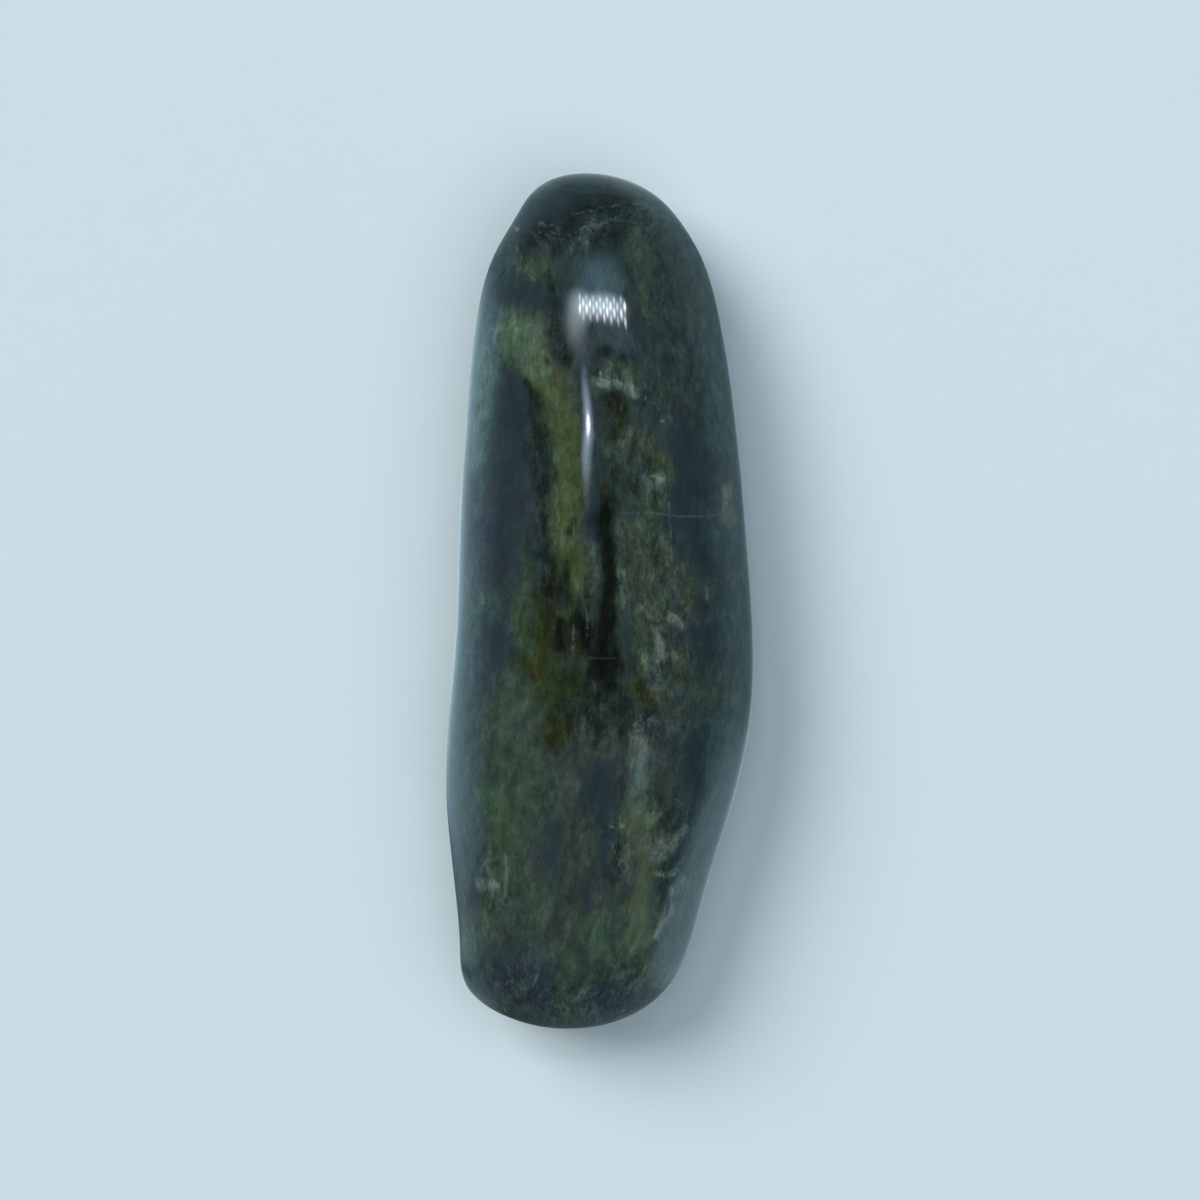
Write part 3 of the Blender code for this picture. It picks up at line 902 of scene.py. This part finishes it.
# A strip of small soft lamps in staggered rows: the radiance of each row from the top, the number of columns,
# the middle of the strip given as above, its size and the size of a lamp.
STRIP_ROWS = (6.5, 15.0, 15.0, 8.5)
STRIP_COLUMNS = 7
STRIP_PLACE, STRIP_DIRECTION = (0.05, 16.9), (0.034, 0.337)
STRIP_SIZE = (0.226, 0.032)
STRIP_LAMP = (0.019, 0.021)
STRIP_COLOUR = "#f4f9ff"
STRIP_UNEVENNESS = 0.3  # how far a lamp's radiance is off, as a share of it
STRIP_SEED = 6

# What the polish mirrors round the stone: the heading it comes from, how far round it reaches to each side,
# the heights, as the upward part of the direction, up to which it is full and at which it ends, and its
# radiance.
GLOWS = {
    "left": (174.0, 23.0, -0.7, 0.52, (0.98, 1.42, 1.66)),
    "low_right": (-26.0, 20.0, 0.0, 0.5, (0.30, 0.47, 0.52)),
    "low_left": (220.0, 30.0, -0.6, 0.5, (0.36, 0.56, 0.60)),
    "far_left": (134.0, 28.0, -0.6, 0.5, (0.34, 0.54, 0.60)),
    "far": (95.0, 45.0, -0.8, 0.1, (0.60, 0.72, 0.75)),
    "far_right": (58.0, 25.0, -0.6, 0.5, (0.25, 0.32, 0.34)),
    "around": (0.0, 180.0, 0.0, 0.5, (0.27, 0.40, 0.43)),
}
OVERHEAD = (0.012, 0.018, 0.022)  # the radiance where no glow reaches

# The glows are dimmer from below: the heights at which that starts and is full, and the share that is left.
DIMMING_START, DIMMING_FULL = -0.2, -0.9
DIMMED = 0.75

BACKDROP_COLOUR = "#c9d6dc"  # what is seen past the table


def facing(place, aim):
    """How a lamp at the place is turned to face the aim, with its width level with the picture's."""
    out = (Vector(place) - Vector(aim)).normalized()
    right = Vector((0, 1, 0)).cross(out).normalized()
    return Matrix((right, out.cross(right), out)).transposed().to_euler()


def add_light(name, kind, place, aim, colour, glossy):
    """A light at a place, facing the aim. It isn't seen itself, and shows in the polish if it is glossy."""
    light = bpy.data.lights.new(name, kind)
    light.color = linear(colour)[:3]
    lamp = bpy.data.objects.new(name, light)
    lamp.location = place
    lamp.rotation_euler = facing(place, aim)
    lamp.visible_camera = False
    lamp.visible_glossy = glossy
    bpy.context.scene.collection.objects.link(lamp)
    return light


def soft_lamp(name, place, aim, size, soft, radiance, colour):
    """A round or oval lamp as bright as its radiance in the middle, fading towards its rim.

    The fade is a smooth step over the soft share of the distance from the rim to the middle. The energy is
    the radiance times pi and the area, which is pi / 4 times width and height.
    """
    width, height = size
    light = add_light(name, "AREA", place, aim, colour, True)
    light.shape = "ELLIPSE"
    light.size, light.size_y = width, height
    light.energy = radiance * math.pi * (math.pi / 4 * width * height)
    light.use_nodes = True
    tree = light.node_tree
    tree.nodes.clear()
    across_lamp = add(tree, "NewGeometry").outputs["Parametric"]
    from_middle = add(tree, "VectorMath", {0: across_lamp, 1: (0.5, 0.5, 0.0)}, operation="DISTANCE")
    fade = add(tree, "MapRange", {0: from_middle.outputs["Value"], 1: 0.5, 2: 0.5 * (1 - soft)}, **SMOOTH)
    glow = add(tree, "Emission", {"Strength": fade.outputs[0]})
    output = add(tree, "OutputLight")
    tree.links.new(glow.outputs[0], output.inputs["Surface"])


def mirrored_place(place, direction):
    """Where a lamp stands that lies in this direction from the place on top of the stone."""
    x, y = direction
    top = Vector((place[0] * MM, place[1] * MM, 2 * WAIST_HEIGHT * MM))
    return top + LAMP_DISTANCE * Vector((x, y, math.sqrt(1 - x * x - y * y)))


def studio_light():
    """The distant lights, the lamps that show in the polish, and the strip, with every other row moved on."""
    middle = Vector((0, 0, WAIST_HEIGHT * MM))
    for name, (direction, width, strength, colour) in DISTANT.items():
        sun = add_light(name, "SUN", middle + Vector(direction), middle, colour, False)
        sun.angle = math.radians(width)
        sun.energy = strength
    for name, (place, direction, size, soft, radiance, colour) in MIRRORED.items():
        soft_lamp(name, mirrored_place(place, direction), middle, size, soft, radiance, colour)
    width, height = STRIP_SIZE
    random = np.random.default_rng(STRIP_SEED)
    for row, row_radiance in enumerate(STRIP_ROWS):
        for column in range(STRIP_COLUMNS):
            across = ((column + row % 2 / 2 + 0.25) / STRIP_COLUMNS - 0.5) * width
            up = (0.5 - (row + 0.5) / len(STRIP_ROWS)) * height
            x, y = STRIP_DIRECTION
            place = mirrored_place(STRIP_PLACE, (x + across / LAMP_DISTANCE, y + up / LAMP_DISTANCE))
            radiance = row_radiance * (1 + random.uniform(-STRIP_UNEVENNESS, STRIP_UNEVENNESS))
            soft_lamp(f"strip_{row}_{column}", place, middle, STRIP_LAMP, 1.0, radiance, STRIP_COLOUR)


def surroundings():
    """Light from around the stone: soft glows low at the sides, dark overhead.

    Only what is seen directly is pale, like the table.
    """
    world = bpy.data.worlds.new("studio")
    world.use_nodes = True
    tree = world.node_tree
    tree.nodes.clear()
    direction = add(tree, "TexCoord").outputs["Generated"]
    height = add(tree, "SeparateXYZ", {0: direction}).outputs["Z"]
    level = add(tree, "VectorMath", {0: direction, 1: (1.0, 1.0, 0.0)}, operation="MULTIPLY")
    level = add(tree, "VectorMath", {0: level.outputs[0]}, operation="NORMALIZE")
    light = OVERHEAD
    for heading, reach, full, gone, radiance in GLOWS.values():
        heading, reach = math.radians(heading), math.radians(reach)
        towards = add(
            tree, "VectorMath", {0: level.outputs[0], 1: (math.cos(heading), math.sin(heading), 0.0)},
            operation="DOT_PRODUCT",
        )
        side = add(tree, "MapRange", {0: towards.outputs["Value"], 1: math.cos(reach), 2: 1.0}, **SMOOTH)
        low = add(tree, "MapRange", {0: height, 1: gone, 2: full})
        share = add(tree, "Math", {0: side.outputs[0], 1: low.outputs[0]}, operation="MULTIPLY")
        glow = add(tree, "VectorMath", {0: radiance, "Scale": share.outputs[0]}, operation="SCALE")
        light = add(tree, "VectorMath", {0: light, 1: glow.outputs[0]}, operation="ADD").outputs[0]
    dimming = add(tree, "MapRange", {0: height, 1: DIMMING_START, 2: DIMMING_FULL, 3: 1.0, 4: DIMMED})
    light = add(tree, "VectorMath", {0: light, "Scale": dimming.outputs[0]}, operation="SCALE").outputs[0]
    around = add(tree, "Background", {"Color": light})
    backdrop = add(tree, "Background", {"Color": linear(BACKDROP_COLOUR)})
    ray = add(tree, "LightPath")
    seen = add(
        tree, "MixShader", {0: ray.outputs["Is Camera Ray"], 1: around.outputs[0], 2: backdrop.outputs[0]},
    )
    output = add(tree, "OutputWorld")
    tree.links.new(seen.outputs[0], output.inputs["Surface"])
    bpy.context.scene.world = world


def table():
    """A wide, level board. The polish mirrors the soft glows of the surroundings in its place."""
    half = TABLE_SIZE / 2
    corners = [(-half, -half, 0), (half, -half, 0), (half, half, 0), (-half, half, 0)]
    mesh = bpy.data.meshes.new("table")
    mesh.from_pydata(corners, [], [(0, 1, 2, 3)])
    mesh.materials.append(matt_board())
    board = bpy.data.objects.new("table", mesh)
    board.visible_glossy = False
    bpy.context.scene.collection.objects.link(board)


def camera():
    """A camera straight above the stone, with the narrow end at the top of the picture."""
    data = bpy.data.cameras.new("camera")
    data.sensor_width = SENSOR
    data.lens = SENSOR * VIEW_DISTANCE / FRAME_WIDTH
    eye = bpy.data.objects.new("camera", data)
    eye.location = Vector((*PICTURE_MIDDLE, WAIST_HEIGHT + VIEW_DISTANCE)) * MM
    bpy.context.scene.collection.objects.link(eye)
    bpy.context.scene.camera = eye


camera()
table()
surroundings()
studio_light()
pebble(polished_diopside())
bpy.context.scene.view_settings.view_transform = "Standard"
